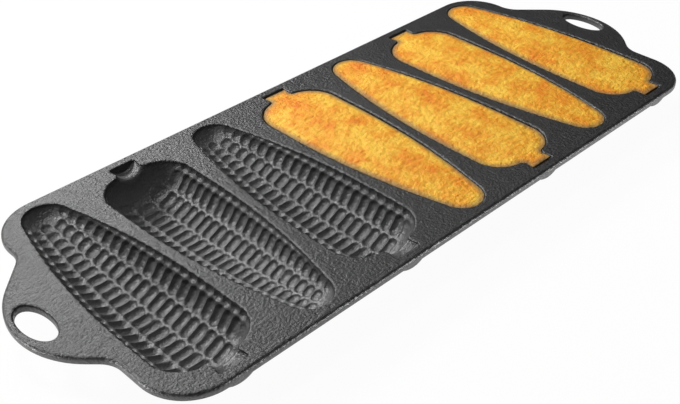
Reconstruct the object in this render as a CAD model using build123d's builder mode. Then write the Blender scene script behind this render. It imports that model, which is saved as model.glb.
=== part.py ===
from build123d import *
import math
import os

# A cast iron corn stick pan: a flat deck with two handle ears, and seven moulds shaped like half
# an ear of corn, set side by side and turned end for end in turn. Four of them hold baked sticks.
# The frame: +X along the pan, +Y towards its far long edge, +Z up. The origin is under the middle
# of the pan, on the surface that it rests on. All sizes are in millimetres.

# Moulds and deck
mould_count = 7
mould_pitch = 49.5
mould_wall = 3.5
foot_flat = 0.6
deck_thickness = 3.6
deck_margin = 5.5
deck_edge_round = 1.6
deck_under_round = 0.6

# The corn cob that every mould is half of is a turned shape, and its axis lies above the deck
cob_length = 143.5
cob_radius = 23.45
axis_rise = 4.7
tip_radius = 12.4
belly_start = 103.5
belly_end = 119.8
shoulder_radius = 16.3
taper_steps = 6
shoulder_step = 2.9
stem_radius = 8.7
stem_flare = 0.45
neck_round = 2.6

# Kernels are dents in rows along the cob, and every second row is shifted by half a pitch
row_angle = 26.7
rows_each_side = 3
kernel_pitch = 5.51
kernel_angle = 24.3
kernel_radius = 2.6
kernel_dent = 1.4
rim_dent = 0.8
notch_floor_share = 0.5
first_kernel = 9.5
last_kernel = 122.5

# Ends of the deck, measured outwards from the axis of the end mould
ear_reach = 51.5
ear_radius = 41.5
ear_shift = 1.0
ear_root_round = 13.0
side_by_tip = 24.0
side_by_stem = 31.7
corner_radius = 24.0
eye_place = 41.6
eye_shift = 3.0
eye_width = 12.9
eye_length = 26.2
eye_round = 1.3

# Baked corn sticks
baked_moulds = [4, 5, 6, 7]
stick_gap = 0.3
stick_kernel_gap = 0.5
stick_lift_gap = 0.2
stick_end_gap = 1.0
stick_sink = 0.8
crown_width_radius = 110.0
crown_length_radius = 1300.0
crust_round = 1.0

# Heights and places that follow from the sizes above
pan_height = cob_radius + mould_wall - foot_flat - axis_rise
deck_under = pan_height - deck_thickness
half_width = cob_length / 2 + deck_margin
end_mould = (mould_count - 1) / 2 * mould_pitch
tip_centre = math.sqrt(tip_radius**2 - axis_rise**2)
taper_run = belly_start - tip_centre
taper_radius = (taper_run**2 + cob_radius**2 - tip_radius**2) / (cob_radius - tip_radius) / 2
shoulder_height = cob_radius - shoulder_radius
tip_touch = tip_centre - tip_radius * taper_run / (taper_radius - tip_radius)


def taper_point(along, grow):
    """Point of the long round taper between the tip and the belly."""
    rise = math.sqrt((taper_radius + grow) ** 2 - (belly_start - along) ** 2)
    return (along, cob_radius - taper_radius + rise)


def shoulder_point(along, grow):
    """Point of the round shoulder between the belly and the stem."""
    rise = math.sqrt((shoulder_radius + grow) ** 2 - (along - belly_end) ** 2)
    return (along, cob_radius - shoulder_radius + rise)


def cob_surface(along):
    """Radius of the bare cob at a place along its axis, between the tip and the neck."""
    if along < tip_touch:
        return math.sqrt(tip_radius**2 - (tip_centre - along) ** 2)
    if along < belly_start:
        return taper_point(along, 0)[1]
    if along < belly_end:
        return cob_radius
    return shoulder_point(along, 0)[1]


def half_cob(grow, end_cut, taper_cuts):
    """Lower half of the cob and its stem, with an even skin added. The axis is X, the tip near 0.

    The kernel zone can be turned from short cones instead of one long round taper.
    """
    tip = tip_radius + grow
    shoulder = shoulder_radius + grow
    stem = stem_radius + grow
    belly = cob_radius + grow
    lean = (tip_centre - tip_touch) / tip_radius
    touch = (tip_centre - tip * lean, tip * math.sqrt(1 - lean**2))
    half_turn = math.atan2(touch[1], tip_centre - touch[0]) / 2
    on_tip = (tip_centre - tip * math.cos(half_turn), tip * math.sin(half_turn))
    neck = belly_end + math.sqrt(shoulder**2 - (stem - shoulder_height) ** 2)
    end = cob_length + grow - end_cut
    taper_step = (belly_start - touch[0]) / taper_steps
    tapers = [taper_point(touch[0] + n * taper_step, grow) for n in range(1, taper_steps)]
    falls = [shoulder_point(belly_end + n * shoulder_step, grow) for n in (1, 2)]
    with BuildPart() as cob:
        with BuildSketch(Plane.XY) as outline:
            with BuildLine():
                ThreePointArc((tip_centre - tip, 0), on_tip, touch)
                if taper_cuts:
                    Polyline(touch, *tapers, (belly_start, belly))
                else:
                    ThreePointArc(touch, tapers[taper_steps // 2], (belly_start, belly))
                Polyline((belly_start, belly), (belly_end, belly), *falls)
                on_shoulder = shoulder_point((falls[-1][0] + neck) / 2, grow)
                ThreePointArc(falls[-1], on_shoulder, (neck, stem))
                Polyline(
                    (neck, stem), (end, stem + stem_flare), (end, 0), (tip_centre - tip, 0)
                )
            make_face()
            fillet(outline.vertices().sort_by_distance((neck, stem))[0], radius=neck_round)
        revolve(axis=Axis.X, revolution_arc=-180)
    return cob.part


def kernel_row(row, gap, lift_gap, lowest):
    """Cutters for one row of kernels: short lengths of a ring about the cob's axis.

    The ring is round, or bevelled for the rim row, which is cut through by the deck. With a lift gap
    the ends stay clear of the iron above them when a stick is lifted out. Kernels whose upper end
    lies more than the lowest depth under the axis are left out.
    """
    along = first_kernel + (kernel_pitch / 2 if row % 2 else 0)
    middle = abs(row) * row_angle
    half_mouth = math.sqrt(kernel_radius**2 - (kernel_radius - kernel_dent) ** 2)
    rings = []
    while along <= last_kernel:
        seat = cob_surface(along)
        half_angle = kernel_angle / 2
        if lift_gap and row:
            ledge = seat * math.sin(math.radians(middle + half_angle)) - lift_gap
            half_angle = math.degrees(math.asin(ledge / (seat + kernel_dent - gap))) - middle
        start = math.radians(row * row_angle - half_angle)
        cut = Plane(
            origin=(along, 0, 0), x_dir=(1, 0, 0), z_dir=(0, math.cos(start), math.sin(start))
        )
        if seat * math.cos(math.radians(middle + half_angle)) < lowest:
            with BuildPart() as ring:
                with BuildSketch(cut):
                    if abs(row) == rows_each_side:
                        with BuildLine():
                            Polyline(
                                (-half_mouth, seat - kernel_dent),
                                (-half_mouth, seat),
                                (-half_mouth * notch_floor_share, seat + rim_dent),
                                (half_mouth * notch_floor_share, seat + rim_dent),
                                (half_mouth, seat),
                                (half_mouth, seat - kernel_dent),
                                close=True,
                            )
                        make_face()
                    else:
                        with Locations((0, seat + kernel_dent - kernel_radius)):
                            Circle(kernel_radius - gap)
                revolve(axis=Axis.X, revolution_arc=2 * half_angle)
            rings.append(ring.part)
        along += kernel_pitch
    return rings


def mould_plane(number):
    """Where one mould lies: its x runs along the cob from tip to stem, and its z is up."""
    place = (number - 1) * mould_pitch - end_mould
    way = -1 if number % 2 else 1
    return Plane(
        origin=(place, -way * cob_length / 2, pan_height + axis_rise),
        x_dir=(0, way, 0),
        z_dir=(0, 0, 1),
    )


os.makedirs("parts", exist_ok=True)

# One mould shell, below the deck. Its foot is cut flat, so that the pan stands on seven of them.
outer_cob = half_cob(mould_wall, 0, False)
hollow = half_cob(0, 0, True)
rows = range(-rows_each_side, rows_each_side + 1)
kernels = [ring for row in rows for ring in kernel_row(row, 0, 0, cob_radius)]
shell_top = -axis_rise - deck_thickness
shell_foot = -axis_rise - pan_height
with BuildPart() as shell:
    add(outer_cob)
    with BuildSketch(Plane.XY.offset(shell_foot)):
        with Locations((cob_length / 2, 0)):
            Rectangle(2 * cob_length, 4 * cob_radius)
    extrude(amount=shell_top - shell_foot, mode=Mode.INTERSECT)
    add(hollow, mode=Mode.SUBTRACT)
    add(kernels, mode=Mode.SUBTRACT)

for number in range(1, mould_count + 1):
    with BuildPart() as mould:
        add(shell.part.moved(mould_plane(number).location))
    mould.part.label = f"mould_{number}"
    export_step(mould.part, f"parts/mould_{number}.step")

# Deck: both ends are alike, and the wider half of each end lies beside the stem of the end mould.
# The two upper rows of kernels on each side reach up into it and leave teeth along every mouth.
ear_centre = ear_reach - ear_radius
ear_lean = ear_radius / math.sqrt(2)
tip_root = ear_centre + ear_shift + ear_radius * math.sqrt(2) - side_by_tip
stem_root = ear_centre - ear_shift + ear_radius * math.sqrt(2) - side_by_stem
rim_kernels = [ring for row in rows for ring in kernel_row(row, 0, 0, -shell_top)]
mouths = [mould_plane(number).location for number in range(1, mould_count + 1)]
with BuildPart() as deck:
    with BuildSketch(Plane.XY.offset(deck_under)) as plan:
        with BuildLine():
            for side in (-1, 1):
                tip_corner = (side * (end_mould + side_by_tip), half_width)
                tip_inner = (side * (end_mould + side_by_tip), tip_root)
                ear_start = (side * (end_mould + ear_centre + ear_lean), ear_shift + ear_lean)
                ear_top = (side * (end_mould + ear_reach), ear_shift)
                ear_end = (side * (end_mould + ear_centre + ear_lean), ear_shift - ear_lean)
                stem_inner = (side * (end_mould + side_by_stem), -stem_root)
                stem_corner = (side * (end_mould + side_by_stem), -half_width)
                Polyline((0, half_width), tip_corner, tip_inner, ear_start)
                ThreePointArc(ear_start, ear_top, ear_end)
                Polyline(ear_end, stem_inner, stem_corner, (0, -half_width))
        make_face()
        for side in (-1, 1):
            for inner in (
                (side * (end_mould + side_by_tip), tip_root),
                (side * (end_mould + side_by_stem), -stem_root),
            ):
                fillet(plan.vertices().sort_by_distance(inner)[0], radius=ear_root_round)
            for outer in (
                (side * (end_mould + side_by_tip), half_width),
                (side * (end_mould + side_by_stem), -half_width),
            ):
                fillet(plan.vertices().sort_by_distance(outer)[0], radius=corner_radius)
        with Locations((-end_mould - eye_place, eye_shift), (end_mould + eye_place, eye_shift)):
            Ellipse(eye_width / 2, eye_length / 2, mode=Mode.SUBTRACT)
    extrude(amount=deck_thickness)
    top_face = deck.faces().sort_by(Axis.Z)[-1]
    fillet(top_face.outer_wire().edges(), radius=deck_edge_round)
    top_face = deck.faces().sort_by(Axis.Z)[-1]
    fillet([edge for wire in top_face.inner_wires() for edge in wire.edges()], radius=eye_round)
    under_face = deck.faces().sort_by(Axis.Z)[0]
    fillet(under_face.outer_wire().edges(), radius=deck_under_round)
    add([hollow.moved(mouth) for mouth in mouths], mode=Mode.SUBTRACT)
    for mouth in mouths:
        add([ring.moved(mouth) for ring in rim_kernels], mode=Mode.SUBTRACT)
deck.part.label = "deck"
export_step(deck.part, "parts/deck.step")

# Baked stick: the hollow drawn in by a small gap, under a gently crowned top. Its edge is round.
crown_edge = -axis_rise - stick_sink
crown_top = crown_edge + cob_radius**2 / 2 / crown_width_radius
bare_stick = half_cob(-stick_gap, stick_end_gap, True)
with BuildPart() as crown:
    with BuildSketch(Plane.XZ):
        with Locations((cob_length / 2, crown_top - crown_length_radius)):
            Circle(crown_length_radius)
        with Locations((cob_length / 2, crown_top - crown_width_radius)):
            Rectangle(
                2 * cob_length,
                crown_width_radius,
                align=(Align.CENTER, Align.MIN),
                mode=Mode.INTERSECT,
            )
    revolve(axis=Axis((0, 0, crown_top - crown_width_radius), (1, 0, 0)))
with BuildPart() as stick:
    add(bare_stick)
    add(crown.part, mode=Mode.INTERSECT)
    rim = stick.faces().sort_by(Axis.Z)[-1].outer_wire().edges()
    fillet(rim, radius=crust_round)
for row in range(1 - rows_each_side, rows_each_side):
    bumps = kernel_row(row, stick_kernel_gap, stick_lift_gap, cob_radius)
    with stick:
        add(bumps)
for number in baked_moulds:
    with BuildPart() as baked:
        add(stick.part.moved(mould_plane(number).location))
    baked.part.label = f"stick_{number}"
    export_step(baked.part, f"parts/stick_{number}.step")
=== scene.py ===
# %% [markdown]
# A cast iron corn stick pan. Real ones are poured in one piece: a flat deck with an ear at each
# end, and a row of moulds under it, each shaped like half an ear of corn. The moulds lie head to
# tail, so that the narrow tip of one sits beside the broad stem end of the next. Here some are
# empty, and some hold a golden baked stick. This lesson dresses the solid model of the pan: it
# makes finer skins for the iron and the sticks, and gives them their finishes.

import math

import bmesh
import bpy
import numpy as np
from mathutils import Matrix, Vector, geometry, noise


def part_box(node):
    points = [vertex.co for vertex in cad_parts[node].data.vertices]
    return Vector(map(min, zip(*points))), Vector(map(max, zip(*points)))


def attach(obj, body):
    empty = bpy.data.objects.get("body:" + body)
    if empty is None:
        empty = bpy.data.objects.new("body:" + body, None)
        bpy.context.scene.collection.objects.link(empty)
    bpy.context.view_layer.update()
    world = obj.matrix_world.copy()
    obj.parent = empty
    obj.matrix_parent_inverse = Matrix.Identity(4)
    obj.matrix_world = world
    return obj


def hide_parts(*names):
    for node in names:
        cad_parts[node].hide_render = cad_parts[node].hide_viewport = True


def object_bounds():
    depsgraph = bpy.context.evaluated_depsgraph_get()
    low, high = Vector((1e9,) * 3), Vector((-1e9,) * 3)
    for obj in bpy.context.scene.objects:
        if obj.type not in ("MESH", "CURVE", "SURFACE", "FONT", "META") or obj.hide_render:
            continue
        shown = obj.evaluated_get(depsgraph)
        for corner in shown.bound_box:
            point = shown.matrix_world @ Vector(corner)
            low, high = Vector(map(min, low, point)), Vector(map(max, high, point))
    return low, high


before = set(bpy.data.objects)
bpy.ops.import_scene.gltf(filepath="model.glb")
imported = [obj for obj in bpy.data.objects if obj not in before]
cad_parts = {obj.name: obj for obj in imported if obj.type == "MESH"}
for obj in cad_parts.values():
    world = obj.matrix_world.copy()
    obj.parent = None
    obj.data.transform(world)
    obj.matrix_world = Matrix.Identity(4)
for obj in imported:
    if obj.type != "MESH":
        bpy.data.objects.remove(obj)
cad_low, cad_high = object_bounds()
print("solid model, mm:", [round(1000 * (b - a), 1) for a, b in zip(cad_low, cad_high)])

# %% [markdown]
# Everything is measured in metres from the solid model, or worked out from a few sizes of the
# pattern that the foundry would have used: a whole turned ear of corn, half sunk in the deck. The
# axis of the ear lies a little above the deck, so that every wall leans outwards and a stick lifts
# out. The same sizes shape the hollow, the iron around it and the stick that is baked in it.

# %% Sizes
mm = 0.001
moulds = sorted(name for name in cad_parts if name.startswith("mould_"))
sticks = sorted(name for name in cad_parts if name.startswith("stick_"))
deck_low, deck_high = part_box("deck")
deck_top, deck_under = deck_high.z, deck_low.z
end_mould = sum(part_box(moulds[-1]), Vector()).x / 2
mould_pitch = 2 * end_mould / (len(moulds) - 1)
half_width = deck_high.y

cob_length = 143.5 * mm
cob_radius = 23.45 * mm
axis_rise = 4.7 * mm
tip_radius = 12.4 * mm
belly_start = 103.5 * mm
belly_end = 119.8 * mm
shoulder_radius = 16.3 * mm
stem_radius = 8.7 * mm
stem_flare = 0.45 * mm
neck_round = 2.6 * mm
stem_corner = 0.9 * mm
mould_wall = 3.5 * mm
print("moulds:", len(moulds), "sticks:", len(sticks), "pitch, mm:", round(mould_pitch / mm, 2))

# %% [markdown]
# The outline of the ear of corn is a chain of arcs: a round tip, a long taper, a straight belly, a
# round shoulder, and a short stem. A lathe would follow this line. It could be drawn as a free
# curve, but where each arc touches the next, the centres follow from the radii, and a line that lies
# a little outside or inside it has just other radii. That skin is needed for the outside of the
# iron, which is larger all round, and for the stick, which is smaller.


# %% The turned line
tip_steps = 12
taper_steps = 40
shoulder_steps = 24
neck_steps = 6
corner_steps = 6


def arc(centre, radius, start, end, steps):
    """Points along a round stretch, both ends included."""
    turns = [start + (end - start) * k / steps for k in range(steps + 1)]
    return [(centre[0] + radius * math.cos(a), centre[1] + radius * math.sin(a)) for a in turns]


def cob_line(skin, end_cut, rim_depth):
    """The line that is turned about the ear's axis: (along, radius) from the tip to the stem's end.

    It starts and ends where its radius equals the depth of the rim below the axis.
    """
    tip_centre = math.sqrt(tip_radius**2 - axis_rise**2)
    run = belly_start - tip_centre
    taper = (run**2 + cob_radius**2 - tip_radius**2) / (cob_radius - tip_radius) / 2
    touch = math.acos(-run / (taper - tip_radius))
    tip, shoulder, stem = tip_radius + skin, shoulder_radius + skin, stem_radius + skin
    shoulder_centre = (belly_end, cob_radius - shoulder_radius)
    drop = stem + neck_round - shoulder_centre[1]
    reach = math.sqrt((shoulder + neck_round) ** 2 - drop**2)
    neck = (belly_end + reach, stem + neck_round)
    end = cob_length + skin - end_cut
    corner = (end - stem_corner, stem + stem_flare - stem_corner)
    line = arc((tip_centre, 0), tip, math.pi - math.asin(rim_depth / tip), touch, tip_steps)
    line += arc((belly_start, cob_radius - taper), taper + skin, touch, math.pi / 2, taper_steps)
    slope = math.atan2(drop, reach)
    line += arc(shoulder_centre, shoulder, math.pi / 2, slope, shoulder_steps)
    line += arc(neck, neck_round, slope + math.pi, math.pi * 1.5, neck_steps)
    line += arc(corner, stem_corner, math.pi / 2, 0, corner_steps)
    line.append((end, rim_depth))
    return line


print("turned line:", len(cob_line(0, 0, axis_rise)), "points")

# %% [markdown]
# Node trees do the rest, both for shapes and for finishes, and both need arithmetic. Wiring Math
# nodes by hand is slow and hard to read, so a small class wraps a socket and lets Python's own
# operators add the nodes: 1 - mask adds a Math node that subtracts.


# %% Arithmetic on sockets
class Wire:
    """A node's output that can stand in a formula."""

    def __init__(self, bench, socket):
        self.bench, self.socket = bench, socket

    def __add__(self, other):
        return self.bench.math("ADD", self, other)

    def __sub__(self, other):
        return self.bench.math("SUBTRACT", self, other)

    def __rsub__(self, other):
        return self.bench.math("SUBTRACT", other, self)

    def __mul__(self, other):
        return self.bench.math("MULTIPLY", self, other)

    def __truediv__(self, other):
        return self.bench.math("DIVIDE", self, other)

    def __rtruediv__(self, other):
        return self.bench.math("DIVIDE", other, self)

    def __pow__(self, other):
        return self.bench.math("POWER", self, other)

    __radd__ = __add__
    __rmul__ = __mul__


methods = [name.strip("_") for name in vars(Wire) if callable(getattr(Wire, name))]
print("what a wire can do:", methods)

# %% [markdown]
# The other nodes could each be added by three or four lines of their own. One method does it for
# all of them instead: it takes the node's type, then its settings, because some settings change
# which sockets there are, and then the values or links of its sockets. A few short methods serve the
# nodes that come up again and again.


# %% A bench for nodes
class Bench:
    """A node tree that nodes are laid out on."""

    def __init__(self, tree):
        self.tree = tree

    def node(self, kind, settings=None, sockets=None, out=0):
        """Add a node: its settings first, then a value or a link for each named socket."""
        node = self.tree.nodes.new(kind)
        for name, value in (settings or {}).items():
            if name == "stops":
                ramp = node.color_ramp
                while len(ramp.elements) < len(value):
                    ramp.elements.new(0.5)
                for element, (place, colour) in zip(ramp.elements, value):
                    element.position = place
                    element.color = colour
            else:
                setattr(node, name, value)
        for name, value in (sockets or {}).items():
            if isinstance(value, Wire):
                self.tree.links.new(value.socket, node.inputs[name])
            else:
                node.inputs[name].default_value = value
        if isinstance(out, tuple):
            return [Wire(self, node.outputs[name]) for name in out]
        return Wire(self, node.outputs[out]) if len(node.outputs) else node

    def math(self, operation, *values):
        """One Math node."""
        return self.node("ShaderNodeMath", {"operation": operation}, dict(enumerate(values)))

    def vector(self, x, y, z):
        """A vector from three numbers or wires."""
        return self.node("ShaderNodeCombineXYZ", None, {0: x, 1: y, 2: z})

    def blend(self, share, first, second):
        """A colour between two colours."""
        sockets = {0: share, 6: first, 7: second}  # the Mix node's own sockets for colours
        return self.node("ShaderNodeMix", {"data_type": "RGBA"}, sockets, 2)

    def held(self, value):
        """A number kept between 0 and 1."""
        return self.math("MINIMUM", self.math("MAXIMUM", value, 0), 1)

    def parts(self, vector):
        """The three numbers of a vector."""
        return self.node("ShaderNodeSeparateXYZ", None, {0: vector}, (0, 1, 2))


print("bench helpers:", [name for name in vars(Bench) if not name.startswith("_")])

# %% [markdown]
# An ear of corn could be sculpted, but it follows a rule: kernels of one kind in even rows round a
# turned body. So a Geometry Nodes tree makes it. Its inputs are the sizes of the pattern, by name,
# so that one tree serves the hollow, the iron round it and the stick. Counts are whole numbers: how
# finely the ear is divided, and how many kernels it has.

# %% The inputs of the tree
kernel_sizes = {
    "Rim depth": axis_rise,
    "Rim drop": 0.0,
    "Rim fade": 2.2 * mm,
    "Rim share": 0.25,
    "Kernel depth": 1.7 * mm,
    "Kernel half width": 2.6 * mm,
    "Kernel pitch": 5.51 * mm,
    "First kernel": 9.5 * mm,
    "Row angle": math.radians(26.7),
    "Kernel angle": math.radians(25.2),
    "Full radius": cob_radius,
}
kernel_counts = {"Lines": 330, "Columns": 129, "Kernels in a row": 22, "Rows each side": 3}


def ear_inputs(bench):
    face = bench.tree.interface
    face.new_socket("Geometry", in_out="INPUT", socket_type="NodeSocketGeometry")
    for name in kernel_sizes:
        face.new_socket(name, in_out="INPUT", socket_type="NodeSocketFloat")
    for name in kernel_counts:
        face.new_socket(name, in_out="INPUT", socket_type="NodeSocketInt")
    face.new_socket("Material", in_out="INPUT", socket_type="NodeSocketMaterial")
    face.new_socket("Geometry", in_out="OUTPUT", socket_type="NodeSocketGeometry")
    names = ("Geometry", *kernel_sizes, *kernel_counts, "Material")
    return dict(zip(names, bench.node("NodeGroupInput", out=names)))


kernelled_ear = bpy.data.node_groups.new("kernelled ear", "GeometryNodeTree")
bench = Bench(kernelled_ear)
given = ear_inputs(bench)
print("inputs of the tree:", len(given))

# %% [markdown]
# The tree takes the turned line and spreads it into even rows. A flat grid, with one line of points
# for each of those rows, is the net that will be pulled into shape. Each point of the net reads its
# own row: how far along the ear it is, how wide the ear is there, and which way the line runs.

# %% Rows of the net
lines, columns = given["Lines"], given["Columns"]
curve = bench.node("GeometryNodeMeshToCurve", None, {"Mesh": given["Geometry"]})
curve = bench.node("GeometryNodeResampleCurve", None, {"Curve": curve, "Count": lines})
grid = bench.node("GeometryNodeMeshGrid", None, {"Vertices X": lines, "Vertices Y": columns})
index = bench.node("GeometryNodeInputIndex")
line = bench.math("FLOOR", (index + 0.5) / columns)
across = (index - line * columns) / (columns - 1) * 2 - 1


def on_line(field):
    """A vector that belongs to the turned line, read at each point's own row."""
    settings = {"data_type": "FLOAT_VECTOR", "domain": "POINT"}
    sockets = {"Geometry": curve, "Value": field, "Index": line}
    return bench.parts(bench.node("GeometryNodeSampleIndex", settings, sockets))


along, _, radius = on_line(bench.node("GeometryNodeInputPosition"))
step_along, _, step_out = on_line(bench.node("GeometryNodeInputTangent"))
full = bench.math("MINIMUM", radius / given["Full radius"], 1)
depth = given["Rim depth"] + given["Rim drop"] * full * full
print("nodes so far:", len(kernelled_ear.nodes))

# %% [markdown]
# A kernel is a dent shaped like a small running track. For each point the tree finds the nearest
# kernel by rounding, first round the ear to find the row, then along it, with every second row
# shifted by half a kernel. How far the point lies from that kernel's middle line says how deep the
# dent is there. Dents are weaker toward the tip, near the rim and beside the stem. Copies of a
# modelled kernel could be cut out of the ear instead, but a formula leaves one clean net.

# %% The dent of a kernel
dent_roundness = 0.6
weak_kernels = 2


def dent(turn):
    """Depth of the kernel at an angle round the ear."""
    width, pitch = given["Kernel half width"], given["Kernel pitch"]
    side = bench.math("ABSOLUTE", turn)
    row = bench.math("ROUND", side / given["Row angle"])
    row = bench.math("MINIMUM", row, given["Rows each side"])
    place = (along - given["First kernel"]) / pitch - bench.math("MODULO", row, 2) / 2
    kernel = bench.math("ROUND", place)
    kernel = bench.math("MINIMUM", bench.math("MAXIMUM", kernel, 0), given["Kernels in a row"] - 1)
    lengthwise = (place - kernel) * pitch
    half_track = given["Kernel angle"] / 2 * radius - width
    crosswise = bench.math("ABSOLUTE", side - row * given["Row angle"]) * radius
    crosswise = bench.math("MAXIMUM", crosswise - bench.math("MAXIMUM", half_track, 0), 0)
    away = bench.math("SQRT", lengthwise * lengthwise + crosswise * crosswise)
    away = bench.math("MINIMUM", away / width, 1)
    below = bench.held((radius * bench.math("COSINE", turn) - depth) / given["Rim fade"])
    fade = given["Rim share"] + (1 - given["Rim share"]) * below
    fade = fade * bench.math("MINIMUM", (given["Kernels in a row"] - kernel) / weak_kernels, 1)
    weak = bench.math("SQRT", full)
    return given["Kernel depth"] * weak * fade * (1 - away * away) ** dent_roundness


def rim_at(reach):
    """The angle at which a surface that far from the axis meets the rim."""
    return bench.math("ARCCOSINE", bench.math("MINIMUM", depth / reach, 1))


print("a kernel is", round(kernel_sizes["Kernel half width"] * 2 / mm, 1), "mm wide")

# %% [markdown]
# Each row is now swept round the axis from rim to rim. The rim must end exactly at a given height,
# and the dents push it about, so its angle is found in three steps, each closer than the last. The
# direction away from the hollow is stored at each point, for the rounded lip that comes later.

# %% Sweeping the net
rim_steps = 3
rim = rim_at(radius)
for _ in range(rim_steps):
    rim = rim_at(radius + dent(rim))
turn = across * rim
reach = radius + dent(turn)
place = bench.vector(along, reach * bench.math("SINE", turn), reach * bench.math("COSINE", turn) * -1)
net = bench.node("GeometryNodeSetPosition", None, {"Geometry": grid, "Position": place})

half = bench.math("SQRT", bench.math("MAXIMUM", radius * radius - depth * depth, 0))
outward = bench.vector(radius * step_out * -1, half * step_along * bench.math("SIGN", across), 0)
outward = bench.node("ShaderNodeVectorMath", {"operation": "NORMALIZE"}, {0: outward})
net = bench.node(
    "GeometryNodeStoreNamedAttribute",
    {"data_type": "FLOAT_VECTOR", "domain": "POINT"},
    {"Geometry": net, "Name": "outward", "Value": outward},
)
net = bench.node("GeometryNodeRealizeInstances", None, {"Geometry": net})
sockets = {"Geometry": net, "Material": given["Material"]}
net = bench.node("GeometryNodeSetMaterial", None, sockets)
bench.node("NodeGroupOutput", None, {"Geometry": net})
print("ear tree:", len(kernelled_ear.nodes), "nodes")

# %% [markdown]
# A modifier runs the tree on a mesh that holds just the turned line. Its result is read back as a
# table of points, line by line, with the direction that points away from the hollow at each rim.
# The hollow is the first to be made. It ends a little under the top of the deck, because the edge
# of the mouth is rounded, as years of scraping leave it.


# %% Running the tree
def run_ear(name, line, kernels, counts, material):
    """Points and outward directions of a half ear, as arrays of lines by columns by 3."""
    mesh = bpy.data.meshes.new(name)
    edges = [(k, k + 1) for k in range(len(line) - 1)]
    mesh.from_pydata([(along, 0, radius) for along, radius in line], edges, [])
    ear = bpy.data.objects.new(name, mesh)
    bpy.context.scene.collection.objects.link(ear)
    modifier = ear.modifiers.new("kernels", "NODES")
    modifier.node_group = kernelled_ear
    values = {**kernel_sizes, **kernel_counts, **kernels, **counts, "Material": material}
    for item in kernelled_ear.interface.items_tree:
        if item.name in values and item.in_out == "INPUT":
            modifier[item.identifier] = values[item.name]
    made = bpy.data.meshes.new_from_object(ear.evaluated_get(bpy.context.evaluated_depsgraph_get()))
    shape = (values["Lines"], values["Columns"], 3)
    points = np.empty(len(made.vertices) * 3)
    made.vertices.foreach_get("co", points)
    outward = np.empty(len(made.vertices) * 3)
    made.attributes["outward"].data.foreach_get("vector", outward)
    bpy.data.objects.remove(ear)
    bpy.data.meshes.remove(mesh)
    bpy.data.meshes.remove(made)
    return points.reshape(shape), outward.reshape(shape)


iron = bpy.data.materials.new("seasoned iron")
lip_round = 0.9 * mm
rim_depth = axis_rise + lip_round
hollow, outward = run_ear("hollow", cob_line(0, 0, rim_depth), {"Rim depth": rim_depth}, {}, iron)
print("hollow:", hollow.shape[0] * hollow.shape[1], "points")

# %% [markdown]
# Every solid piece here is a tube of points: one ring for each line of the ear, joined to the next
# ring, with the two ends of the tube closed to a line. Doubled points are merged before the faces
# are turned outwards, or the two ends would stay open.


# %% Joining rings of points
merge_gap = 0.0002 * mm
sharp_edge = math.radians(50)


def tidy(mesh, material):
    """Merge doubles, drop flat faces, turn faces outwards and shade smooth up to sharp edges."""
    work = bmesh.new()
    work.from_mesh(mesh)
    bmesh.ops.remove_doubles(work, verts=work.verts, dist=merge_gap)
    bmesh.ops.dissolve_degenerate(work, dist=merge_gap, edges=work.edges)
    bmesh.ops.recalc_face_normals(work, faces=work.faces)
    work.to_mesh(mesh)
    work.free()
    mesh.materials.append(material)
    mesh.set_sharp_from_angle(angle=sharp_edge)
    print(mesh.name, "faces:", len(mesh.polygons))
    return mesh


def join_rings(name, rings, material, marks=None):
    """A closed mesh from rings of points. Marks are numbers kept with the points, for a finish."""
    lines, count = rings.shape[:2]
    here = np.arange(lines * count).reshape(lines, count)
    there = np.roll(here, -1, axis=1)
    faces = np.stack([here[:-1], here[1:], there[1:], there[:-1]], axis=-1).reshape(-1, 4)
    mesh = bpy.data.meshes.new(name)
    mesh.from_pydata(rings.reshape(-1, 3).tolist(), [], faces.tolist())
    for mark, values in (marks or {}).items():
        mesh.attributes.new(mark, "FLOAT", "POINT").data.foreach_set("value", values.ravel())
    return tidy(mesh, material)


# %% [markdown]
# A good casting is equally thick all round, so the outside of a mould follows its hollow, but it is
# plain. A Solidify modifier on the hollow would carry the kernels through to the outside. So the
# same tree runs again, on a larger turned line and with kernels of no depth. The pan stands on small
# flats under the bellies of its moulds: every point of the outside that would lie below the table is
# lifted to it.

# %% The outside of a mould
shell_columns = 49
deck_depth = axis_rise + deck_top - deck_under
table_depth = axis_rise + deck_top
shell_line = cob_line(mould_wall, 0, deck_depth)
shell_sizes = {"Rim depth": deck_depth, "Kernel depth": 0.0}
shell, _ = run_ear("shell", shell_line, shell_sizes, {"Columns": shell_columns}, iron)
shell[..., 2] = np.maximum(shell[..., 2], -table_depth)
print("foot above the table, mm:", round((shell[..., 2].min() + table_depth) / mm, 3))

# %% [markdown]
# The edge of the mouth is rounded over, or the light would break on it as on a knife. A Bevel
# modifier would round the kernels' edges with it, so the rounding is laid here point by point: a few
# narrow strips that turn from the hollow's wall onto the deck, and one flat strip that the plate of
# the deck will meet.

# %% The rounded lip
lip_width = 0.6 * mm
lip_steps = 4


def step_over(rim, outward, radius, steps):
    """Rounding from a rim up and outwards, onto the deck: one strip of points for each step."""
    turns = [math.pi / 2 * k / steps for k in range(1, steps + 1)]
    up = np.array([0, 0, 1])
    return [
        rim + outward * radius * (1 - math.cos(turn)) + up * radius * math.sin(turn) for turn in turns
    ]


sides = {}
for side, column in (("low", 0), ("high", -1)):
    rim, away = hollow[:, column], outward[:, column]
    strips = step_over(rim, away, lip_round, lip_steps)
    strips.append(strips[-1] + away * lip_width)
    sides[side] = strips
mouth = {side: strips[-1] for side, strips in sides.items()}
widest = np.ptp([mouth["low"][:, 1], mouth["high"][:, 1]])
print("mouth with its lip, mm wide:", round(widest / mm, 1))

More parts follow.
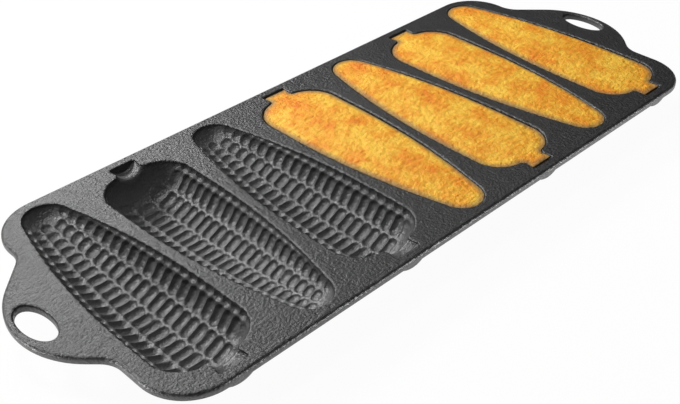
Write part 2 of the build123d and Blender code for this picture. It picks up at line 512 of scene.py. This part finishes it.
# %% [markdown]
# The iron of a mould is one closed shell: kernelled on the inside, plain and round outside. One ring
# of points is laid for each line: from the deck's underside up through the deck, over the lip, down
# and up again through the hollow, over the other lip, down through the deck and back round the
# outside.

# %% The iron of one mould
drop = np.array([0, 0, deck_under - deck_top])
ring = [mouth["low"] + drop, *reversed(sides["low"])]
ring += [hollow[:, k] for k in range(hollow.shape[1])]
ring += [*sides["high"], mouth["high"] + drop]
ring += [shell[:, k] for k in reversed(range(shell.shape[1]))]
mould_mesh = join_rings("mould", np.stack(ring, axis=1), iron)
print("points in a ring:", len(ring))

# %% [markdown]
# The moulds lie head to tail, so each one is the same shell, turned end for end every second time.
# Objects that share one mesh would be lighter, but the finish reads Object coordinates, and its
# grain would then repeat from mould to mould. So each gets a copy, with its place in its points, and
# the object itself stays at the origin.


# %% Placing the moulds
def put(name):
    """Matrix from the ear's own axes to its place in the pan."""
    number = int(name.split("_")[1])
    way = 1 if number % 2 else -1
    x = (number - (len(moulds) + 1) / 2) * mould_pitch
    turn = Matrix.Rotation(-way * math.pi / 2, 4, "Z")
    return Matrix.Translation((x, way * cob_length / 2, deck_top + axis_rise)) @ turn


def piece(name, mesh, node, body):
    """Show a mesh in place of a node of the solid model."""
    skin = bpy.data.objects.new(name, mesh)
    bpy.context.scene.collection.objects.link(skin)
    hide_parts(node)
    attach(skin, body)


for name in moulds:
    skin = mould_mesh.copy()
    skin.transform(put(name))
    piece(name.replace("mould", "mould_skin"), skin, name, "pan")
print("moulds placed:", len(moulds))

# %% [markdown]
# The deck's outline is a chain of straight lines with round corners. A pattern maker would draw it
# in that way: a few corners, each with its radius. The helper gives the points of the line, and at
# each point the direction away from the iron, which the rounded edge needs.


# %% A line with round corners
def rounded(corners, steps):
    """Points and outward directions of a closed line with round corners, anticlockwise."""
    points, away = [], []
    for k, (x, y, radius) in enumerate(corners):
        here = Vector((x, y))
        to_last = (Vector(corners[k - 1][:2]) - here).normalized()
        to_next = (Vector(corners[(k + 1) % len(corners)][:2]) - here).normalized()
        half = to_last.angle(to_next) / 2
        centre = here + (to_last + to_next).normalized() * radius / math.sin(half)
        first = here + to_last * radius / math.tan(half) - centre
        turn = to_last.cross(to_next)
        sweep = math.copysign(math.pi - 2 * half, -turn)
        for step in range(steps + 1):
            spoke = Matrix.Rotation(sweep * step / steps, 2) @ first
            points.append(centre + spoke)
            away.append(spoke.normalized() * math.copysign(1, sweep))
    return np.array(points), np.array(away)


square = [(1, -1, 0.5), (1, 1, 0.5), (-1, 1, 0.5), (-1, -1, 0.5)]
print("a square with round corners:", len(rounded(square, 2)[0]), "points")

# %% [markdown]
# Each ear is itself a round corner, where two slanting lines meet, and hollow corners lead from it
# to the long body. Ten corners make the whole outline, and the left end is the right end mirrored.
# The ears sit a little off the middle, toward the side where the two end moulds have their tips.

# %% The outline of the deck
outline_steps = 24
ear_radius = 41.5 * mm
ear_reach = 51.5 * mm
ear_shift = 1.0 * mm
ear_root_round = 13.0 * mm
side_by_tip = 24.0 * mm
side_by_stem = 31.7 * mm
corner_radius = 24.0 * mm
ear_centre = ear_reach - ear_radius
ear_point = ear_centre + ear_radius * math.sqrt(2)
tip_root = ear_point - side_by_tip + ear_shift
stem_root = ear_shift - (ear_point - side_by_stem)
right_side = [
    (end_mould + side_by_stem, -half_width, corner_radius),
    (end_mould + side_by_stem, stem_root, ear_root_round),
    (end_mould + ear_point, ear_shift, ear_radius),
    (end_mould + side_by_tip, tip_root, ear_root_round),
    (end_mould + side_by_tip, half_width, corner_radius),
]
left_side = [(-x, y, radius) for x, y, radius in reversed(right_side)]
outline, outline_away = rounded(right_side + left_side, outline_steps)
print("outline, mm:", (np.ptp(outline, axis=0) / mm).round(2), len(outline), "points")

# %% [markdown]
# The deck is a flat plate with nine holes: seven mouths and two eyes to hold it by. Its outer edge
# is soft, rounder on top than below. A Bevel modifier could round it, but would have to be kept off
# the mouths, whose edges must meet the moulds. So the edge is laid as bands of narrow faces, from
# the top outline down to the bottom one.


# %% The edges of the deck
deck_edge_round = 1.6 * mm
deck_under_round = 0.6 * mm
edge_steps = 6
deck_points, deck_bands = [], []


def lay(points, height):
    """Add a closed line of points at a height, and give back their numbers."""
    start = len(deck_points)
    deck_points.extend((x, y, height) for x, y in points)
    return list(range(start, len(deck_points)))


def band(upper, lower):
    """Faces between two closed lines of points."""
    for k in range(len(upper)):
        deck_bands.append((upper[k - 1], upper[k], lower[k], lower[k - 1]))


def edge(points, away, top_round, under_round):
    """The rounded wall of an edge, from the flat top to the flat underside: its two end lines."""
    turns = [math.pi / 2 * k / edge_steps for k in range(edge_steps + 1)]
    lines = []
    for turn in turns:
        inset = top_round * (1 - math.sin(turn))
        lines.append(lay(points - away * inset, deck_top - top_round * (1 - math.cos(turn))))
    for turn in turns:
        inset = under_round * (1 - math.cos(turn))
        lines.append(lay(points - away * inset, deck_under + under_round * (1 - math.sin(turn))))
    for upper, lower in zip(lines, lines[1:]):
        band(upper, lower)
    return lines[0], lines[-1]


edges = [edge(outline, outline_away, deck_edge_round, deck_under_round)]
print("outer edge:", len(deck_bands), "faces")

# %% [markdown]
# The eyes are ovals, with the same rounded edge on top. The mouths are the outer lines of the
# moulds' lips, brought to their places, and each has a plain wall that the mould stands against.

# %% The eyes and the mouths
eye_round = 1.3 * mm
eye_place = 41.6 * mm
eye_shift = 3.0 * mm
eye_size = np.array([12.9 * mm, 26.2 * mm]) / 2
eye_steps = 72
turns = np.linspace(0, 2 * math.pi, eye_steps, endpoint=False)
spokes = np.stack([np.cos(turns), np.sin(turns)], axis=1)
for side in (-1, 1):
    middle = np.array([side * (end_mould + eye_place), eye_shift])
    inwards = -spokes / eye_size
    inwards /= np.linalg.norm(inwards, axis=1, keepdims=True)
    edges.append(edge(middle + spokes * eye_size, inwards, eye_round, 0))
ear_mouth = np.concatenate([mouth["low"], mouth["high"][-2:0:-1]])
for name in moulds:
    placed = [put(name) @ Vector(point) for point in ear_mouth]
    top_line = lay([(p.x, p.y) for p in placed], deck_top)
    under_line = lay([(p.x, p.y) for p in placed], deck_under)
    band(top_line, under_line)
    edges.append((top_line, under_line))
print("closed lines in the deck:", len(edges))

# %% [markdown]
# The flat faces could be cut by Booleans, but those leave slivers and lose the lips' points. A
# constrained triangulation fills between the outlines instead and keeps every edge of every one, so
# that the plate meets the moulds point for point. It takes the outlines as rings, and says for each
# triangle which rings it lies in: those in the first ring alone are iron. They are shaded flat, so
# that the small roundings beside them don't bend their light.

# %% The plate of the deck
triangles_within = 1
same_place = 1e-6
flat_upright = 0.99999


def fill(lines):
    """Triangles between closed lines in one plane: inside the first line, outside the others."""
    numbers = [number for line in lines for number in line]
    flat = [Vector(deck_points[number][:2]) / mm for number in numbers]
    start = np.cumsum([0] + [len(line) for line in lines])
    rings = [list(range(a, b)) for a, b in zip(start, start[1:])]
    _, _, faces, corners, _, inside = geometry.delaunay_2d_cdt(
        flat, [], rings, triangles_within, same_place
    )
    kept = [face for face, within in zip(faces, inside) if list(within) == [0]]
    return [tuple(numbers[corners[corner][0]] for corner in face) for face in kept]


plates = fill([top for top, _ in edges]) + fill([under for _, under in edges])
deck_mesh = bpy.data.meshes.new("deck skin")
deck_mesh.from_pydata(deck_points, [], deck_bands + plates)
tidy(deck_mesh, iron)
for face in deck_mesh.polygons:
    face.use_smooth = abs(face.normal.z) < flat_upright
piece("deck_skin", deck_mesh, "deck", "pan")
print("flat faces of the deck:", len(plates))

# %% [markdown]
# A baked stick is a cast of its hollow, a little smaller since it shrinks as it cools. Only the
# rows of kernels near its bottom stand out, or it couldn't be lifted. The same tree makes it, from
# the same turned line with a skin less than nothing.

# %% The underside of a stick
stick_gap = 0.3 * mm
stick_end_gap = 1.0 * mm
stick_columns = 81
rim_sink = 0.5 * mm
rim_drop = 0.5 * mm
crumb = bpy.data.materials.new("baked crumb")
bumps = {
    "Rim depth": axis_rise + rim_sink,
    "Rim drop": rim_drop,
    "Kernel depth": 0.9 * mm,
    "Kernel half width": 1.9 * mm,
}
bump_counts = {"Rows each side": 2, "Columns": stick_columns}
stick_depth = bumps["Rim depth"]
stick_end = stick_depth + rim_drop * (stick_depth / cob_radius) ** 2
stick_line = cob_line(-stick_gap, stick_end_gap, stick_end)
under, _ = run_ear("stick", stick_line, bumps, bump_counts, crumb)
print("underside of a stick:", under.shape[0] * under.shape[1], "points")

# %% [markdown]
# The open side of the stick is a grid on the same lines as its underside, with points packed closer
# near the edge, where it curves most. How far each point lies in from the edge is worked out first:
# the crust curls down there, and its colour is darker, partly a duller crust and partly painted
# shade. The distance is taken to the nearest point of the rim and not just sideways, or the neck
# would leave a crease across the stick.

# %% In from the edge
crust_round = 3.6 * mm
crown_columns = 65
stick_rim = under[:, -1]


def from_rim(points):
    """How far each point lies from the nearest point of the rim, seen from above."""
    gaps = points[:, None] - stick_rim[None, :, :2]
    return np.sqrt((gaps**2).sum(axis=-1)).min(axis=1)


spread = np.sin(np.linspace(-1, 1, crown_columns) * math.pi / 2)
lengthways = np.repeat(stick_rim[:, :1], crown_columns, axis=1)
sideways = stick_rim[:, 1:2] * spread
half_lines = np.stack([lengthways, np.abs(sideways)], axis=-1)
to_side = np.stack([from_rim(line) for line in half_lines])
inland = np.clip(np.minimum(to_side, stick_rim[-1, 0] - lengthways) / crust_round, 0, 1)
print("points of the crown past its curled edge:", f"{(inland == 1).mean():.0%}")

# %% [markdown]
# The batter rose in the oven into a low, long crown, whose edge curls down to just under the deck.
# Two large radii bend it, and smooth noise at two sizes gives it a lumpy top and a fine uneven skin.
# A Displace modifier could do the same, but noise in the points keeps the rim exactly where it is.

# %% The crown of a stick
crown_width_radius = 160.0 * mm
crown_length_radius = 1600.0 * mm
lump_room = 0.5 * mm
crown_top = cad_high.z - deck_top - axis_rise - lump_room
lump_size, lump_height = 9 * mm, 0.25 * mm
grain_size, grain_height = 2.2 * mm, 0.3 * mm
roughness, finer, octaves = 0.8, 2.1, 3


def uneven(place, size, seed):
    """Soft lumps, between -1 and 1, of about the given size."""
    return noise.fractal(Vector(place) / size + Vector((seed, 0, 0)), roughness, finer, octaves)


curl = np.sqrt(1 - (1 - inland) ** 2)
sag = sideways**2 / (2 * crown_width_radius)
sag = sag + (lengthways - cob_length / 2) ** 2 / (2 * crown_length_radius)
print("crown above the deck, before its lumps, mm:", round((crown_top + axis_rise) / mm, 2))

# %% [markdown]
# The two halves of each ring are joined: the underside first, then the crown, back to the start.
# No two bakes are alike, so every stick has its own noise, by its number.

# %% The baked sticks
seed_step = 7


def stick_mesh(name, number):
    """One stick, with its own unevenness."""
    seed = number * seed_step
    crown = np.stack([lengthways, sideways, crown_top - sag], axis=-1)
    for line in crown:
        for point in line:
            lump = lump_height * uneven(point, lump_size, seed)
            point[2] += lump + grain_height * uneven(point, grain_size, seed)
    edge_height = stick_rim[:, 2:3]
    crown[..., 2] = edge_height + (crown[..., 2] - edge_height) * curl
    ring = np.concatenate([under, crown[:, -2:0:-1]], axis=1)
    far_in = np.concatenate([np.zeros(under.shape[:2]), inland[:, -2:0:-1]], axis=1)
    return join_rings(name, ring, crumb, {"inland": far_in})


for name in sticks:
    number = int(name.split("_")[1])
    skin = stick_mesh(name, number)
    skin.transform(put(name))
    piece(name.replace("stick", "stick_skin"), skin, name, f"bake_{number}")
print("sticks placed:", len(sticks))

# %% [markdown]
# A finish is a tree of shader nodes that ends in one Principled shader. Its patterns could come from
# pictures, but noise has no seams and no end, and suits all sides. The noise reads Object
# coordinates, which are metres here, so it is asked for by the size of its lumps. Only colour,
# roughness and bump change over a surface. All else is set on the shader's own sockets, where the
# export finds it.


# %% Helpers for a finish
def bench_for(material):
    """An empty shader tree, ready for a finish."""
    material.use_nodes = True
    material.node_tree.nodes.clear()
    return Bench(material.node_tree)


def noise_at(bench, place, size, detail, roughness=0.5):
    """Noise between 0 and 1, with lumps of about the given size."""
    sockets = {"Vector": place, "Scale": 1 / size, "Detail": detail, "Roughness": roughness}
    return bench.node("ShaderNodeTexNoise", None, sockets)


def bump_from(bench, relief, strength, height):
    """A bump of the given height for a relief that goes from 0 to 1."""
    sockets = {"Strength": strength, "Distance": height, "Height": relief}
    return bench.node("ShaderNodeBump", None, sockets)


def finish_with(bench, shader):
    """Send a shader to the material's output."""
    bench.node("ShaderNodeOutputMaterial", None, {"Surface": shader})


print("materials to finish:", [material.name for material in (iron, crumb)])

# %% [markdown]
# Cast iron comes out of sand, so its skin is pebbly at about a millimetre, and it is dark with baked
# oil. Two sizes of noise make the bumps, and a third, slow one shifts the tone and the shine from
# place to place. The hollows and the outside are a lighter grey than the top. This is partly the
# greyer skin of the casting and partly painted fill light that lifts them out of their shade. The
# flat top gets the most oil and wiping, so it is darker, and the rims between are rubbed a little
# shinier. The height of a point tells which of these it is.

# %% The skin of the iron
pebble_size = 1.45 * mm
dimple_size = 4.5 * mm
patch_size = 30 * mm
pebble_share = 0.6
top_from = deck_top - 2.2 * mm
top_over = 2.0 * mm
bench = bench_for(iron)
place = bench.node("ShaderNodeTexCoord", out="Object")
pebbles = noise_at(bench, place, pebble_size, detail=3, roughness=0.55)
dimples = noise_at(bench, place, dimple_size, detail=3)
patches = noise_at(bench, place, patch_size, detail=3)
# 1 on the oiled top and 0 below it, where the grey carries painted fill light
rubbed_vs_painted_fill = bench.held((bench.parts(place)[2] - top_from) / top_over)
worn = rubbed_vs_painted_fill * (1 - rubbed_vs_painted_fill) * 4  # 1 half way up the rim, 0 below and above it
relief = pebbles * pebble_share + dimples * (1 - pebble_share)
bump = bump_from(bench, relief, strength=0.85, height=1.0 * mm)
print("iron patterns, mm:", [size / mm for size in (pebble_size, dimple_size, patch_size)])

# %% [markdown]
# The tone of the casting, which carries painted fill light, and the tone of the top are each a base
# that drifts with the patches and is grained by the pebbles. The same two noises vary the roughness,
# which breaks the light of the lamps into the fine glitter of oiled iron.

# %% Seasoned iron
# The casting's grey is partly its own greyer skin and partly painted fill light
cast_and_fill_tone, cast_drift, cast_grain = 0.07, 0.03, 0.06
top_tone, top_drift, top_grain = 0.008, 0.004, 0.01
dullness, dullness_drift = 0.38, 0.1
top_duller, rim_shinier = 0.04, 0.05
cast_glitter, top_glitter = 0.15, 0.2
grain = pebbles - 0.5
cast_and_fill = cast_and_fill_tone + patches * cast_drift + grain * cast_grain
top = top_tone + patches * top_drift + grain * top_grain
# Below the top, the colour is lightened by painted fill light
shade = cast_and_fill * (1 - rubbed_vs_painted_fill) + top * rubbed_vs_painted_fill
glitter = grain * (rubbed_vs_painted_fill * top_glitter + cast_glitter)
dull = dullness + rubbed_vs_painted_fill * top_duller - worn * rim_shinier
dull = dull + (patches - 0.5) * dullness_drift + glitter
sockets = {
    "Base Color": bench.node("ShaderNodeCombineColor", None, {0: shade, 1: shade, 2: shade}),
    "Roughness": dull,
    "Specular IOR Level": 0.7,
    "Normal": bump,
}
finish_with(bench, bench.node("ShaderNodeBsdfPrincipled", None, sockets))
print("seasoned iron:", len(bench.tree.nodes), "nodes")

# %% [markdown]
# The crust of a corn stick is golden yellow with orange blotches where it browned. Large blotches
# and small flecks of noise are added up to say how far each spot is browned, and a ramp of four
# colours turns that into a tone. It could be one blend of two colours, but real crust goes from
# yellow over amber to rust, and the two ends alone would miss the amber.

# %% The crust
blotch_size = 16 * mm
fleck_size = 2.6 * mm
crumb_size = 0.9 * mm
blotch_contrast, blotch_shift, fleck_contrast = 2.2, 0.8, 0.9
bench = bench_for(crumb)
place = bench.node("ShaderNodeTexCoord", out="Object")
blotches = noise_at(bench, place, blotch_size, detail=4, roughness=0.65)
flecks = noise_at(bench, place, fleck_size, detail=4, roughness=0.62)
crumbs = noise_at(bench, place, crumb_size, detail=2)
browned = blotches * blotch_contrast - blotch_shift + (flecks - 0.5) * fleck_contrast
stops = [
    (0.0, (0.90, 0.53, 0.05, 1)),
    (0.35, (0.82, 0.35, 0.018, 1)),
    (0.7, (0.78, 0.23, 0.008, 1)),
    (1.0, (0.72, 0.16, 0.006, 1)),
]
baked = bench.node("ShaderNodeValToRGB", {"stops": stops}, {"Fac": browned})
print("crust patterns, mm:", [round(size / mm, 1) for size in (blotch_size, fleck_size, crumb_size)])

# %% [markdown]
# Along its edge, where it curls down, the crust is a darker brown. This is partly a duller crust,
# where the batter touched the iron last, and partly painted shade. How far in each point lies was
# kept in the mesh when the crown was made, and is read back here. The sides and the underside baked
# against the iron and are toasted in a browner gold. The height of a point tells them from the
# crust. A fine bump makes the crumb.

# %% Baked crumb
# The edge's dark brown is partly duller crust and partly painted shade
dull_and_shaded_edge = (0.25, 0.16, 0.06, 1)
light_toast = (0.72, 0.33, 0.045, 1)
dark_toast = (0.34, 0.12, 0.015, 1)
toasted_from = deck_top - 1.5 * mm
toasted_over = 3.0 * mm
fleck_relief, crumb_relief = 0.7, 0.2
inland = bench.node("ShaderNodeAttribute", {"attribute_name": "inland"}, out="Fac")
# Painted shade and duller crust at the edge, fading inwards
crust = bench.blend(inland, dull_and_shaded_edge, baked)
sunk = bench.held((toasted_from - bench.parts(place)[2]) / toasted_over)
relief = flecks * fleck_relief + crumbs * crumb_relief
sockets = {
    "Base Color": bench.blend(sunk, crust, bench.blend(flecks, light_toast, dark_toast)),
    "Roughness": 0.6,
    "Specular IOR Level": 0.35,
    "Normal": bump_from(bench, relief, strength=0.9, height=1.5 * mm),
}
finish_with(bench, bench.node("ShaderNodeBsdfPrincipled", None, sockets))
print("baked crumb:", len(bench.tree.nodes), "nodes")

# %% [markdown]
# The photograph was taken on pure white. Enough light to make a floor that white would wash out the
# pan as well. So the floor's material tells rays apart: those from the camera, and those that are
# mirrored or pass through something, meet a white that shines by itself, and all others meet plain
# grey paper. A small share of paper stays in the white too, and takes the pan's shadow.

# %% The floor
floor_reach = 30.0
paper_tone = (0.8, 0.8, 0.8, 1)
white_share = 0.96
corners = [(-1, -1), (1, -1), (1, 1), (-1, 1)]
corners = [(x * floor_reach, y * floor_reach, 0) for x, y in corners]
floor_mesh = bpy.data.meshes.new("floor")
floor_mesh.from_pydata(corners, [], [(0, 1, 2, 3)])
floor = bpy.data.objects.new("floor", floor_mesh)
bpy.context.scene.collection.objects.link(floor)
paper = bpy.data.materials.new("paper")
floor_mesh.materials.append(paper)
bench = bench_for(paper)
rays = ("Is Camera Ray", "Is Glossy Ray", "Is Transmission Ray")
to_camera, mirrored, passed = bench.node("ShaderNodeLightPath", out=rays)
seen = bench.math("MAXIMUM", bench.math("MAXIMUM", to_camera, mirrored), passed)
matt = bench.node("ShaderNodeBsdfDiffuse", None, {"Color": paper_tone})
white = bench.node("ShaderNodeEmission", None, {"Color": (1, 1, 1, 1), "Strength": 1.0})
mix = bench.node("ShaderNodeMixShader", None, {0: seen * white_share, 1: matt, 2: white})
finish_with(bench, mix)
print("floor, m across:", floor_reach * 2)

# %% [markdown]
# Studio light on a dark thing is mostly about what the thing mirrors. The deck shines at its near
# left end and falls to near black at the far right, so four soft lamps stand behind and above, the
# strongest of them to the left. Two small lamps stand almost on the floor, one at the left end and
# one in front, and draw bright lines along the rounded edges. A weak even sky fills the hollows.
# Each lamp is a square, given by its place, the point that it looks at, its side and its power.

# %% The lamps and the sky
lamps = {
    "low light": ((0.13, 0.68, 0.50), (-0.1, 0, 0.02), 0.36, 4.1),
    "high light": ((-0.2, 0.15, 1.0), (-0.05, 0, 0.02), 0.2, 3.2),
    "left light": ((-0.5, 0.6, 0.58), (-0.05, 0, 0.02), 0.2, 6),
    "right light": ((0.6, 0.35, 0.75), (-0.05, 0, 0.02), 0.3, 0.7),
    "side light": ((-0.9, 0.3, 0.011), (-0.15, 0, 0.011), 0.02, 4),
    "front light": ((0.55, -0.9, 0.011), (0, -0.07, 0.011), 0.02, 6),
}
sky_tone = (0.05, 0.05, 0.05, 1)
for name, (stand, aim, side, power) in lamps.items():
    light = bpy.data.lights.new(name, "AREA")
    light.size = side
    light.energy = power
    lit = bpy.data.objects.new(name, light)
    lit.location = stand
    lit.rotation_euler = (Vector(aim) - Vector(stand)).to_track_quat("-Z", "Y").to_euler()
    bpy.context.scene.collection.objects.link(lit)
sky = bpy.data.worlds.new("sky")
bpy.context.scene.world = sky
sky.use_nodes = True
sky.node_tree.nodes["Background"].inputs["Color"].default_value = sky_tone
bpy.context.scene.view_settings.view_transform = "Standard"
print("lamps:", len(lamps), "watts:", round(sum(power for *_, power in lamps.values()), 1))

# %% [markdown]
# The camera stands where the photographer's did. It could be given by its coordinates, but a point
# to look at, a distance and two angles are easier to read. These and the lens were fitted to the
# photograph.

# %% The camera
aim = Vector((-45.1, -25.05, 21.65)) * mm
distance = 497.5 * mm
azimuth = math.radians(-44.83)
elevation = math.radians(35.97)
focal_length, film_width = 56.7, 36
back = Vector((
    math.sin(azimuth) * math.cos(elevation),
    -math.cos(azimuth) * math.cos(elevation),
    math.sin(elevation),
))
lens = bpy.data.cameras.new("camera")
lens.lens = focal_length
lens.sensor_width = film_width
camera = bpy.data.objects.new("camera", lens)
camera.location = aim + back * distance
camera.rotation_euler = back.to_track_quat("Z", "Y").to_euler()
bpy.context.scene.collection.objects.link(camera)
bpy.context.scene.camera = camera
print("camera, mm:", [round(v / mm, 1) for v in camera.location])

# %% [markdown]
# The finer pan has to stay the size of the solid one.
